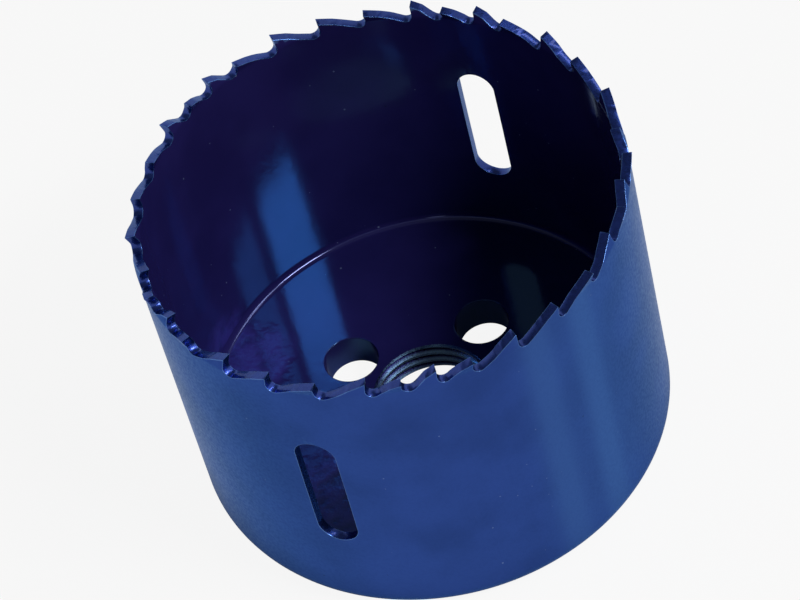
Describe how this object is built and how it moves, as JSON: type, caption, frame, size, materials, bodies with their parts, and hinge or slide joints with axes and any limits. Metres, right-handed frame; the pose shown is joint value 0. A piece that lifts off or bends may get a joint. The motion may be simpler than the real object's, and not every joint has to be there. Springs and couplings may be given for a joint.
{
  "type": "hole saw",
  "caption": "Hole saw: a thin round cup with set teeth on its rim, upright slug slots in the wall and a thick back plate with an arbor thread and drive-pin holes.",
  "frame": {"origin": "centre of the back plate's flat outer face, on the saw's axis", "axes": "+Z along the saw's axis towards the teeth; one slug slot faces -Y"},
  "size_m": [0.0604, 0.0606, 0.0441],
  "materials": {
    "shell_paint": "satin royal blue paint over saw steel",
    "plate_paint": "satin dark blue paint over steel, bare steel on the thread crests"
  },
  "bodies": {
    "root": {"toothed_shell": "shell_paint", "back_plate": "plate_paint"}
  },
  "joints": []
}
